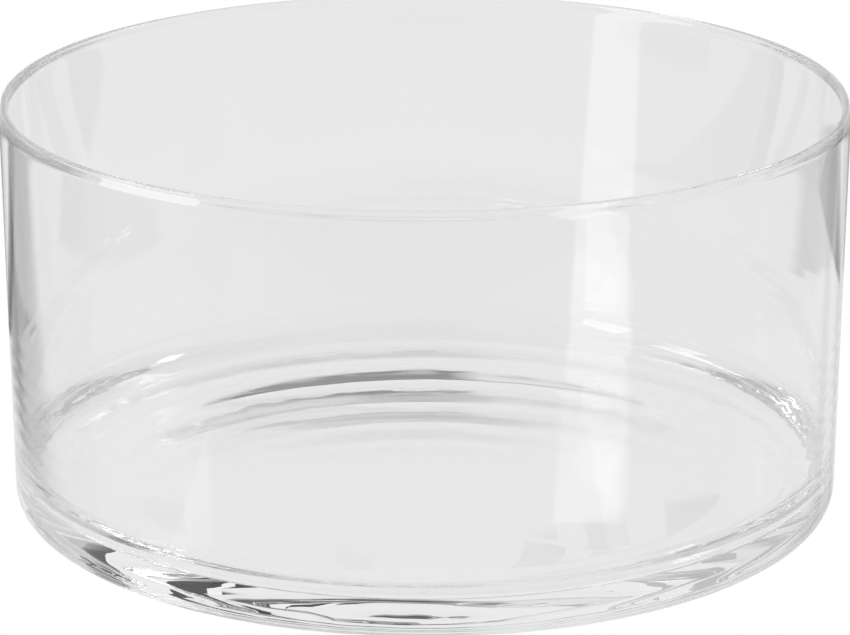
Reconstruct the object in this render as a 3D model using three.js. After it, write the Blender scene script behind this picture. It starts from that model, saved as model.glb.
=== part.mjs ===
// A straight-sided round dish, blown in one piece of clear glass: a thick bottom with a
// rounded heel, a thin side that widens very slightly towards the top, and a plain
// fire-polished rim. Millimetres, +Z up, origin at the centre of the circle it stands on.

import * as THREE from "three";

// Driving dimensions.
const RIM_RADIUS = 125; // outside of the side, just under the rim
const HEIGHT = 125; // foot to rim
const WALL = 2.25; // thickness of the side
const TAPER = 1.6; // the side's outer radius is this much smaller at the heel than at the top
const FLOOR_HEIGHT = 10.5; // thickness of the bottom, from the foot to the inner floor
const INNER_CORNER = 13.75; // the rounding between the floor and the side
const INNER_FULLNESS = 0.62; // how far it reaches into its corner; 0.55 would be a circle
const HEEL_WIDTH = 13; // the rounded outer corner, measured along the foot
const HEEL_HEIGHT = 8.6; // the same corner, measured up the side
const HEEL_FULLNESS = 0.73;
const FOOT_INNER_RADIUS = 92.5; // the flat foot ring ends here and the recess starts
const RECESS_DEPTH = 2.95; // the recess under the bottom, at its centre
const RIM_DRAW = 0.625; // the melted rim is this much thinner than the side
const RIM_SHOULDER = 4.25; // the side starts to draw in this far below the top

// How finely the curves are divided.
const SIDES = 72; // around the axis
const RECESS_STEPS = 5;
const HEEL_STEPS = 7;
const SHOULDER_STEPS = 4;
const RIM_STEPS = 6;
const CORNER_STEPS = 7;

// A point of the section: the distance from the axis, and the height.
function at(radius, height) {
  return new THREE.Vector2(radius, height);
}

// A rounding from `start` to `end`, of which `corner` is the sharp corner.
function rounding(start, corner, end, fullness, steps) {
  const first = start.clone().lerp(corner, fullness);
  const second = end.clone().lerp(corner, fullness);
  return new THREE.CubicBezierCurve(start, first, second, end).getPoints(steps);
}

// The recess under the bottom: a shallow dome from the axis out to the foot ring.
function recess() {
  const points = [];
  for (let i = 0; i <= RECESS_STEPS; i += 1) {
    const share = i / RECESS_STEPS;
    points.push(at(share * FOOT_INNER_RADIUS, RECESS_DEPTH * (1 - share * share)));
  }
  return points;
}

// The heel: from the flat foot ring round to the upright side.
function heel() {
  const side = RIM_RADIUS - TAPER;
  return rounding(
    at(side - HEEL_WIDTH, 0), at(side, 0), at(side, HEEL_HEIGHT), HEEL_FULLNESS, HEEL_STEPS,
  );
}

// The rim: the outside draws in a little, then a half circle leads over to the inside.
function rim() {
  const radius = (WALL - RIM_DRAW) / 2;
  const centre = at(RIM_RADIUS - WALL + radius, HEIGHT - radius);
  const neck = RIM_RADIUS - RIM_DRAW;
  const shoulder = new THREE.CubicBezierCurve(
    at(RIM_RADIUS, HEIGHT - RIM_SHOULDER),
    at(RIM_RADIUS, HEIGHT - 0.55 * RIM_SHOULDER),
    at(neck, centre.y - 0.35 * (RIM_SHOULDER - radius)),
    at(neck, centre.y),
  );
  const bead = new THREE.EllipseCurve(centre.x, centre.y, radius, radius, 0, Math.PI);
  return [...shoulder.getPoints(SHOULDER_STEPS), ...bead.getPoints(RIM_STEPS).slice(1)];
}

// The inner corner: from the side down onto the floor.
function innerCorner() {
  const side = RIM_RADIUS - TAPER - WALL;
  return rounding(
    at(side, FLOOR_HEIGHT + INNER_CORNER),
    at(side, FLOOR_HEIGHT),
    at(side - INNER_CORNER, FLOOR_HEIGHT),
    INNER_FULLNESS,
    CORNER_STEPS,
  );
}

function makeDish() {
  const section = [...recess(), ...heel(), ...rim(), ...innerCorner(), at(0, FLOOR_HEIGHT)];
  const geometry = new THREE.LatheGeometry(section, SIDES);
  geometry.rotateX(Math.PI / 2);
  const glass = new THREE.MeshStandardMaterial({
    color: 0xe9edec,
    roughness: 0.02,
    metalness: 0,
    transparent: true,
    opacity: 0.35,
  });
  const dish = new THREE.Mesh(geometry, glass);
  dish.name = "dish";
  return dish;
}

const object = new THREE.Group();
object.add(makeDish());

export default object;
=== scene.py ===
"""A round dish of clear glass on a white table, in soft studio light."""

import math

import bpy
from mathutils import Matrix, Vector, noise


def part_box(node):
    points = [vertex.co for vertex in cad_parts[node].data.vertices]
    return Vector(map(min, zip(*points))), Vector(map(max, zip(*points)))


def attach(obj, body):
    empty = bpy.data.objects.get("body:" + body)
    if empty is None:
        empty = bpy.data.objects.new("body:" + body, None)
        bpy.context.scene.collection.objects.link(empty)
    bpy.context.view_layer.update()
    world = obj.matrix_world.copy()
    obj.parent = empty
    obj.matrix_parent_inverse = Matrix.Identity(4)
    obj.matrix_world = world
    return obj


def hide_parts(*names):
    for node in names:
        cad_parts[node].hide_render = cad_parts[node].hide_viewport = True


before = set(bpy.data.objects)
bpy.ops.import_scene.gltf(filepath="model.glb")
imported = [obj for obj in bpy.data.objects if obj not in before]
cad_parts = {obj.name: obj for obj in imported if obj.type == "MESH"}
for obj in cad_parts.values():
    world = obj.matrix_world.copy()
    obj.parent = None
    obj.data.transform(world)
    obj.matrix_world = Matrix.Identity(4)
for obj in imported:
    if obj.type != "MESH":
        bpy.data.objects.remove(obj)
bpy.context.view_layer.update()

low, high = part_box("dish")
RIM = (high[0] - low[0]) / 2
TOP = high[2]

# The section of the glass.
WALL = 0.018 * RIM
TAPER = 0.0128 * RIM
FLOOR = 0.084 * RIM
CORNER = 0.11 * RIM
CORNER_FULLNESS = 0.62
HEEL_WIDTH = 0.104 * RIM
HEEL_HEIGHT = 0.069 * RIM
HEEL_FULLNESS = 0.73
RECESS_RADIUS = 0.74 * RIM
RECESS_DEPTH = 0.0235 * RIM
RIM_SHOULDER = 0.034 * RIM
RIM_DRAW = 0.005 * RIM
RIM_HANDLES = (0.55, 0.35)  # pull of the drawn-in curve's two ends, as parts of its height

# How finely the section's curves and the turn round the axis are divided.
SEGMENTS = 288
RECESS_STEPS = 48
FOOT_STEPS = 5
CORNER_STEPS = 24
WALL_STEPS = 14  # above the ripples
RIPPLE_STEPS = 6  # to each ripple
SHOULDER_STEPS = 16
BEAD_STEPS = 18
FLOOR_STEPS = 36

# Unevenness of the blown glass: rings round the lower wall, slow waves in the wall and in
# the base, and puckers where the base was pressed.
RIPPLE = 0.000035
RIPPLE_PITCH = 0.045 * RIM
RIPPLE_TOP = 0.60 * RIM
RIPPLE_FULL = 0.30 * RIM
RIPPLE_START = (FLOOR + 0.5 * CORNER, FLOOR + 1.3 * CORNER)
RIPPLE_SIDES = (0.75, 0.93)  # cosines of the turn from +X or -X: none in front or behind
RIPPLE_WANDER = 3  # radians
SWELL = 0.00012
SWELL_SHIFT = Vector((7, 3, 5))  # keeps it apart from the wander
WAVE_TURN = 1.6  # size of the noise round the axis
WAVE_RISE = 3  # and up it, over one rim radius
DIMPLE = 0.00005
DIMPLE_SIZE = 0.24 * RIM
PUCKER = 0.0002
PUCKER_SIZE = 0.055 * RIM
PUCKER_RISE = 0.3  # its noise is stretched upwards by 1 / this
PUCKER_HEIGHTS = (FLOOR, 0.6 * HEEL_HEIGHT)
PUCKER_REACH = (0.78 * RIM, 0.92 * RIM)
SIDE_REACH = (0.70 * RIM, 0.95 * RIM)  # the wall's own waves fade out over this much of the base

GLASS_IOR = 1.5
GLASS_TINT = (0.992, 0.996, 0.995)
TINT_SCALE = 1.1 / RIM

# Light, where 1 is the white that the camera sees around the dish.
TABLE_GREY = 0.815
BACK_GREY = 0.84
FRONT_GREY = 0.45
SIDE_GREY = 0.45
CEILING_GREY = 0.08
LEFT_CEILING_GREY = 0.75
# Where one part of the studio gives way to the next, as a range of one component of the
# direction from the dish. The blinds start where Z + BACK_SLANT * |X| is in BACK_TOP.
BACK_EDGE = (0.55, 0.75)  # Y
FRONT_EDGE = (-0.4, -0.6)  # Y
CEILING_EDGE = (0.75, 0.9)  # Z
LEFT_CEILING_EDGE = (-0.05, -0.22)  # X
BACK_TOP = (0.62, 0.66)
BACK_SLANT = 1.1
# Blinds high on the back wall of the studio: the X where each starts, and its tone.
BLINDS = [
    (-1.0, 0.75), (-0.50, 0.50), (-0.42, 0.82), (-0.35, 0.50), (-0.31, 0.85), (-0.23, 0.50),
    (-0.19, 0.84), (-0.075, 0.45), (-0.045, 0.82), (0.07, 0.03), (0.095, 0.9), (0.12, 0.03),
    (0.155, 0.9), (0.185, 0.03), (0.245, 0.9), (0.27, 0.03), (0.38, 0.85), (0.52, 0.05),
    (0.62, 0.60),
]
# Painted shade on the table, as dark sheets lying on it, and a painted light streak (the last):
# corners in rim radii, softness of their edges, and tone.
PAINTED_TABLE_SHADE_AND_STREAK = [
    ([(-1.10, 0.6), (-1.50, 3.35), (-2.02, 3.35), (-1.15, 0.9)], 0.10, 0.38),
    ([(-1.34, 1.10), (-3.23, 2.66), (-3.4, 2.0), (-2.4, 0.8), (-1.15, -0.3)], 0.12, 0.28),
    ([(-1.20, 1.29), (-2.9, 3.11), (-3.25, 2.68), (-1.36, 1.12)], 0.04, 0.04),
    ([(-3.1, -1.5), (-3.1, 0.6), (-5.5, 1.0), (-5.5, -1.5)], 0.05, 0.35),
    ([(1.14, 1.75), (1.42, 3.35), (2.15, 3.35), (1.45, 1.75)], 0.04, 0.50),
    ([(1.60, 1.55), (3.1, 3.25), (3.6, 2.6), (3.1, 1.55)], 0.05, 0.20),
    ([(-9, -3), (9, -3), (9, -12), (-9, -12)], 0.6, 0.50),
    # Painted light streak: a lighter band down the table, a painted reflection seen through the
    # glass.
    ([(0.30, -0.35), (0.46, -0.35), (0.80, 5.0), (0.63, 5.0)], 0.01, 0.92),
]
TABLE_RADIUS = 40 * RIM
TABLE_DROP = 0.0003  # below the foot, so that no two faces share a plane
TABLE_IOR = 1.49
TABLE_ROUGHNESS = 0.04
# Upright lamp faces: the two points of the table that each stands over, its bottom and its
# top, in rim radii, and its strength.
LAMPS = {
    "left_lamp": (((-3.44, -2.51), (-2.39, -0.59)), 0.8, 2.2, 3.2),
    "right_lamp": (((4.0, -0.5), (3.4, 2.6)), 0.5, 3.0, 0.9),
    "high_lamp": (((3.2, 1.2), (2.4, 2.2)), 3.3, 4.1, 7.0),
}
# Light is guided a long way in the rim and the base, which go black with fewer bounces.
BOUNCES = 110

# Camera
LENS = 171
SENSOR = 36
ELEVATION = math.radians(17.9)
DISTANCE = 9.68 * RIM
AIM = Vector((0, 0, 0.442 * RIM))

# Sockets that share a name with others on the same node.
MIX_A, MIX_B, MIX_RESULT = 6, 7, 2  # of a Mix node for colours
TO_MIN, TO_MAX = 9, 10  # of a Map Range node for vectors


def bezier(p0, p1, p2, p3, steps):
    """Points of a cubic curve from p0 to p3, both included."""
    points = []
    for i in range(steps + 1):
        t = i / steps
        shares = ((1 - t) ** 3, 3 * t * (1 - t) ** 2, 3 * t * t * (1 - t), t ** 3)
        mixed = [sum(s * p[k] for s, p in zip(shares, (p0, p1, p2, p3))) for k in (0, 1)]
        points.append(tuple(mixed))
    return points


def arc(centre, radius, start, end, steps):
    """Points of a circle from one angle to another, both included."""
    points = []
    for i in range(steps + 1):
        angle = start + (end - start) * i / steps
        across, up = radius * math.cos(angle), radius * math.sin(angle)
        points.append((centre[0] + across, centre[1] + up))
    return points


def between(start, end, steps):
    """Points of the straight line, without its ends."""
    return [
        (start[0] + (end[0] - start[0]) * i / steps, start[1] + (end[1] - start[1]) * i / steps)
        for i in range(1, steps)
    ]


def recess():
    """The shallow dome under the base, from the axis out to the foot ring."""
    points = []
    for i in range(RECESS_STEPS + 1):
        share = i / RECESS_STEPS
        points.append((share * RECESS_RADIUS, RECESS_DEPTH * (1 - share ** 2)))
    return points


def heel():
    """The rounded outer corner, from the foot ring up to the wall."""
    side = RIM - TAPER
    foot = side - HEEL_WIDTH
    return bezier(
        (foot, 0),
        (foot + HEEL_FULLNESS * HEEL_WIDTH, 0),
        (side, (1 - HEEL_FULLNESS) * HEEL_HEIGHT),
        (side, HEEL_HEIGHT),
        CORNER_STEPS,
    )


def rim():
    """The wall draws in a little below its edge, and the edge is melted round."""
    radius = (WALL - RIM_DRAW) / 2
    centre = (RIM - WALL + radius, TOP - radius)
    shoulder = bezier(
        (RIM, TOP - RIM_SHOULDER),
        (RIM, TOP - RIM_HANDLES[0] * RIM_SHOULDER),
        (RIM - RIM_DRAW, centre[1] - RIM_HANDLES[1] * (RIM_SHOULDER - radius)),
        (RIM - RIM_DRAW, centre[1]),
        SHOULDER_STEPS,
    )
    return shoulder + arc(centre, radius, 0, math.pi, BEAD_STEPS)[1:]


def wall(start, end):
    """Rings along the wall, close together where it ripples; start and end are left out."""
    bottom, top = sorted((start[1], end[1]))
    spacing = RIPPLE_PITCH / RIPPLE_STEPS
    count = math.ceil((RIPPLE_TOP - bottom) / spacing)
    ripples = [RIPPLE_TOP - i * spacing for i in range(count)]
    smooth = [RIPPLE_TOP + (top - RIPPLE_TOP) * i / WALL_STEPS for i in range(1, WALL_STEPS)]
    heights = sorted(ripples + smooth, reverse=start[1] > end[1])
    lean = (end[0] - start[0]) / (end[1] - start[1])
    return [(start[0] + lean * (z - start[1]), z) for z in heights]


def section():
    """The whole outline, from the axis under the base round to the axis on the floor."""
    inner = RIM - TAPER - WALL
    corner = bezier(
        (inner, FLOOR + CORNER),
        (inner, FLOOR + (1 - CORNER_FULLNESS) * CORNER),
        (inner - (1 - CORNER_FULLNESS) * CORNER, FLOOR),
        (inner - CORNER, FLOOR),
        CORNER_STEPS,
    )
    points = recess()
    points += between(points[-1], heel()[0], FOOT_STEPS)
    points += heel()
    points += wall(points[-1], rim()[0])
    points += rim()
    points += wall(points[-1], corner[0])
    points += corner
    points += between(points[-1], (0, FLOOR), FLOOR_STEPS)
    points.append((0, FLOOR))
    return points


def ease(value, start, end):
    """0 at `start`, 1 at `end`, smooth between and flat beyond."""
    t = min(1, max(0, (value - start) / (end - start)))
    return t * t * (3 - 2 * t)


def waver(radius, c, s, height):
    """How far a point of the true shape moves outwards and upwards, as blown glass does."""
    turn = Vector((WAVE_TURN * c, WAVE_TURN * s, WAVE_RISE * height / RIM))
    phase = 2 * math.pi * height / RIPPLE_PITCH + RIPPLE_WANDER * noise.noise(turn)
    strength = ease(height, RIPPLE_TOP, RIPPLE_FULL) * ease(height, *RIPPLE_START)
    strength *= ease(abs(c), *RIPPLE_SIDES)
    out = RIPPLE * strength * math.sin(phase) + SWELL * noise.noise(turn + SWELL_SHIFT)
    out *= ease(radius, *SIDE_REACH)
    place = Vector((radius * c, radius * s, height))
    base = ease(height, FLOOR + CORNER, FLOOR)
    up = DIMPLE * noise.noise(place / DIMPLE_SIZE)
    pressed = ease(height, *PUCKER_HEIGHTS) * ease(radius, *PUCKER_REACH)
    upright = Vector((place.x, place.y, PUCKER_RISE * height))
    pucker = PUCKER * pressed * noise.noise(upright / PUCKER_SIZE)
    return out + pucker, (up + pucker) * base


def lathe(name, profile, segments):
    """A closed surface of revolution from a profile that starts and ends on the axis."""
    rings = profile[1:-1]
    directions = []
    for s in range(segments):
        angle = 2 * math.pi * s / segments
        directions.append((math.cos(angle), math.sin(angle)))
    vertices = [(0, 0, profile[0][1])]
    for radius, height in rings:
        for c, s in directions:
            out, up = waver(radius, c, s, height)
            vertices.append(((radius + out) * c, (radius + out) * s, max(0, height + up)))
    vertices.append((0, 0, profile[-1][1]))
    top = len(vertices) - 1
    last = 1 + (len(rings) - 1) * segments
    faces = []
    for s in range(segments):
        n = (s + 1) % segments
        faces.append((0, 1 + n, 1 + s))
        for k in range(len(rings) - 1):
            base = 1 + k * segments
            faces.append((base + s, base + n, base + segments + n, base + segments + s))
        faces.append((last + s, last + n, top))
    mesh = bpy.data.meshes.new(name)
    mesh.from_pydata(vertices, [], faces)
    mesh.polygons.foreach_set("use_smooth", [True] * len(mesh.polygons))
    obj = bpy.data.objects.new(name, mesh)
    bpy.context.scene.collection.objects.link(obj)
    return obj


def glass_material():
    """Clear glass with a very faint, cloudy tint."""
    material = bpy.data.materials.new("clear_glass")
    material.use_nodes = True
    shader = material.node_tree.nodes["Principled BSDF"]
    shader.inputs["Roughness"].default_value = 0.0
    shader.inputs["IOR"].default_value = GLASS_IOR
    shader.inputs["Transmission Weight"].default_value = 1.0
    tree = material.node_tree
    place = tree.nodes.new("ShaderNodeTexCoord")
    cloud = tree.nodes.new("ShaderNodeTexNoise")
    cloud.inputs["Scale"].default_value = TINT_SCALE
    cloud.inputs["Detail"].default_value = 3
    tree.links.new(place.outputs["Object"], cloud.inputs["Vector"])
    tint = tree.nodes.new("ShaderNodeMapRange")
    tint.data_type = "FLOAT_VECTOR"
    tint.inputs[TO_MIN].default_value = GLASS_TINT
    tint.inputs[TO_MAX].default_value = (1, 1, 1)
    tree.links.new(cloud.outputs["Fac"], tint.inputs["Vector"])
    tree.links.new(tint.outputs["Vector"], shader.inputs["Base Color"])
    return material


glass = lathe("glass_dish", section(), SEGMENTS)
glass.data.materials.append(glass_material())
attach(glass, "root")
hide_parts("dish")

scene = bpy.context.scene
camera_data = bpy.data.cameras.new("camera")
camera_data.sensor_width = SENSOR
camera_data.lens = LENS
camera = bpy.data.objects.new("camera", camera_data)
scene.collection.objects.link(camera)
camera.location = AIM + Vector((0, -math.cos(ELEVATION), math.sin(ELEVATION))) * DISTANCE
camera.rotation_euler = (math.pi / 2 - ELEVATION, 0, 0)
scene.camera = camera


def grey(value):
    return (value, value, value, 1)


def white_to_camera(tree, tone):
    """White where the camera looks straight at it, and `tone` as the glass sees it."""
    path = tree.nodes.new("ShaderNodeLightPath")
    mix = tree.nodes.new("ShaderNodeMix")
    mix.data_type = "RGBA"
    tree.links.new(path.outputs["Is Camera Ray"], mix.inputs[0])
    tree.links.new(tone, mix.inputs[MIX_A])
    mix.inputs[MIX_B].default_value = grey(1)
    return mix.outputs[MIX_RESULT]


def tone_mix(tree, share, first, second):
    """`first` where share is 0 and `second` where it is 1; each a tone or a colour socket."""
    mix = tree.nodes.new("ShaderNodeMix")
    mix.data_type = "RGBA"
    tree.links.new(share, mix.inputs[0])
    for socket, tone in ((mix.inputs[MIX_A], first), (mix.inputs[MIX_B], second)):
        if isinstance(tone, float):
            socket.default_value = grey(tone)
        else:
            tree.links.new(tone, socket)
    return mix.outputs[MIX_RESULT]


def fade(tree, value, start, end):
    """0 where value is `start`, 1 where it is `end`, and smooth between."""
    node = tree.nodes.new("ShaderNodeMapRange")
    node.interpolation_type = "SMOOTHSTEP"
    node.inputs["From Min"].default_value = min(start, end)
    node.inputs["From Max"].default_value = max(start, end)
    if start > end:
        node.inputs["To Min"].default_value = 1
        node.inputs["To Max"].default_value = 0
    tree.links.new(value, node.inputs["Value"])
    return node.outputs[0]


def within(tree, place, corners, soft):
    """1 inside the convex outline, whose corners are in rim radii, and 0 outside."""
    middle = sum((Vector(c) for c in corners), Vector((0, 0))) / len(corners)
    inside = None
    for start, end in zip(corners, corners[1:] + corners[:1]):
        start = Vector(start)
        along = (Vector(end) - start).normalized()
        inward = Vector((-along.y, along.x))
        if inward.dot(middle - start) < 0:
            inward.negate()
        depth = tree.nodes.new("ShaderNodeVectorMath")
        depth.operation = "DOT_PRODUCT"
        tree.links.new(place, depth.inputs[0])
        depth.inputs[1].default_value = (inward.x, inward.y, 0)
        edge = inward.dot(start)
        side = fade(tree, depth.outputs["Value"], (edge - soft) * RIM, (edge + soft) * RIM)
        if inside is None:
            inside = side
        else:
            both = tree.nodes.new("ShaderNodeMath")
            both.operation = "MULTIPLY"
            tree.links.new(inside, both.inputs[0])
            tree.links.new(side, both.inputs[1])
            inside = both.outputs[0]
    return inside


def clear_nodes(tree):
    """Take out the default shader and return the output node."""
    tree.nodes.remove(tree.nodes["Principled BSDF"])
    return tree.nodes["Material Output"]


def make_table():
    """A white glossy table top with painted shade and a painted light streak on it."""
    bpy.ops.mesh.primitive_circle_add(
        vertices=96, radius=TABLE_RADIUS, fill_type="NGON", location=(0, 0, -TABLE_DROP)
    )
    table = bpy.context.object
    table.name = "table"
    material = bpy.data.materials.new("white_acrylic_painted_shade_and_streak")
    material.use_nodes = True
    tree = material.node_tree
    output = clear_nodes(tree)
    place = tree.nodes.new("ShaderNodeTexCoord")
    tone = TABLE_GREY
    # Painted shade and one painted light streak, mixed into the tone that the glass sees.
    for corners, soft, dark in PAINTED_TABLE_SHADE_AND_STREAK:
        inside = within(tree, place.outputs["Object"], corners, soft)
        tone = tone_mix(tree, inside, tone, dark)
    glow = tree.nodes.new("ShaderNodeEmission")
    tree.links.new(white_to_camera(tree, tone), glow.inputs["Color"])
    gloss = tree.nodes.new("ShaderNodeBsdfAnisotropic")
    gloss.inputs["Roughness"].default_value = TABLE_ROUGHNESS
    gloss.inputs["Color"].default_value = grey(1)
    fresnel = tree.nodes.new("ShaderNodeFresnel")
    fresnel.inputs["IOR"].default_value = TABLE_IOR
    path = tree.nodes.new("ShaderNodeLightPath")
    shine = tree.nodes.new("ShaderNodeMath")
    shine.operation = "SUBTRACT"
    shine.use_clamp = True
    tree.links.new(fresnel.outputs[0], shine.inputs[0])
    tree.links.new(path.outputs["Is Camera Ray"], shine.inputs[1])
    mix = tree.nodes.new("ShaderNodeMixShader")
    tree.links.new(shine.outputs[0], mix.inputs[0])
    tree.links.new(glow.outputs[0], mix.inputs[1])
    tree.links.new(gloss.outputs[0], mix.inputs[2])
    tree.links.new(mix.outputs[0], output.inputs[0])
    table.data.materials.append(material)


def lamp(name, ends, bottom, top, strength):
    """An upright bright face over the line between two points, unseen by the camera itself."""
    (x0, y0), (x1, y1) = ends
    corners = [(x0, y0, bottom), (x1, y1, bottom), (x1, y1, top), (x0, y0, top)]
    mesh = bpy.data.meshes.new(name)
    mesh.from_pydata([Vector(c) * RIM for c in corners], [], [(0, 1, 2, 3)])
    obj = bpy.data.objects.new(name, mesh)
    scene.collection.objects.link(obj)
    obj.visible_camera = False
    material = bpy.data.materials.new(name)
    material.use_nodes = True
    tree = material.node_tree
    output = clear_nodes(tree)
    glow = tree.nodes.new("ShaderNodeEmission")
    glow.inputs["Color"].default_value = grey(1)
    glow.inputs["Strength"].default_value = strength
    tree.links.new(glow.outputs[0], output.inputs[0])
    obj.data.materials.append(material)


def make_world():
    """The studio round the table: bright back wall with blinds, darker sides and ceiling."""
    world = bpy.data.worlds.new("studio")
    scene.world = world
    world.use_nodes = True
    tree = world.node_tree
    place = tree.nodes.new("ShaderNodeTexCoord")
    axes = tree.nodes.new("ShaderNodeSeparateXYZ")
    tree.links.new(place.outputs["Generated"], axes.inputs[0])
    across = tree.nodes.new("ShaderNodeMapRange")
    across.inputs["From Min"].default_value = -1
    tree.links.new(axes.outputs["X"], across.inputs["Value"])
    blinds = tree.nodes.new("ShaderNodeValToRGB")
    ramp = blinds.color_ramp
    ramp.interpolation = "CONSTANT"
    ramp.elements.remove(ramp.elements[1])
    ramp.elements[0].color = grey(BLINDS[0][1])
    for start, dark in BLINDS[1:]:
        ramp.elements.new((start + 1) / 2).color = grey(dark)
    tree.links.new(across.outputs["Result"], blinds.inputs[0])
    aside = tree.nodes.new("ShaderNodeMath")
    aside.operation = "ABSOLUTE"
    tree.links.new(axes.outputs["X"], aside.inputs[0])
    slant = tree.nodes.new("ShaderNodeMath")
    slant.operation = "MULTIPLY_ADD"
    tree.links.new(aside.outputs[0], slant.inputs[0])
    slant.inputs[1].default_value = BACK_SLANT
    tree.links.new(axes.outputs["Z"], slant.inputs[2])
    below = fade(tree, slant.outputs[0], BACK_TOP[1], BACK_TOP[0])
    back = tone_mix(tree, below, blinds.outputs["Color"], BACK_GREY)
    sides = tone_mix(tree, fade(tree, axes.outputs["Y"], *BACK_EDGE), SIDE_GREY, back)
    around = tone_mix(tree, fade(tree, axes.outputs["Y"], *FRONT_EDGE), sides, FRONT_GREY)
    left = fade(tree, axes.outputs["X"], *LEFT_CEILING_EDGE)
    ceiling = tone_mix(tree, left, CEILING_GREY, LEFT_CEILING_GREY)
    tone = tone_mix(tree, fade(tree, axes.outputs["Z"], *CEILING_EDGE), around, ceiling)
    tree.links.new(white_to_camera(tree, tone), tree.nodes["Background"].inputs[0])


make_table()
make_world()
for lamp_name, face in LAMPS.items():
    lamp(lamp_name, *face)

scene.view_settings.view_transform = "Standard"
scene.cycles.max_bounces = BOUNCES
scene.cycles.transmission_bounces = BOUNCES
scene.cycles.glossy_bounces = BOUNCES
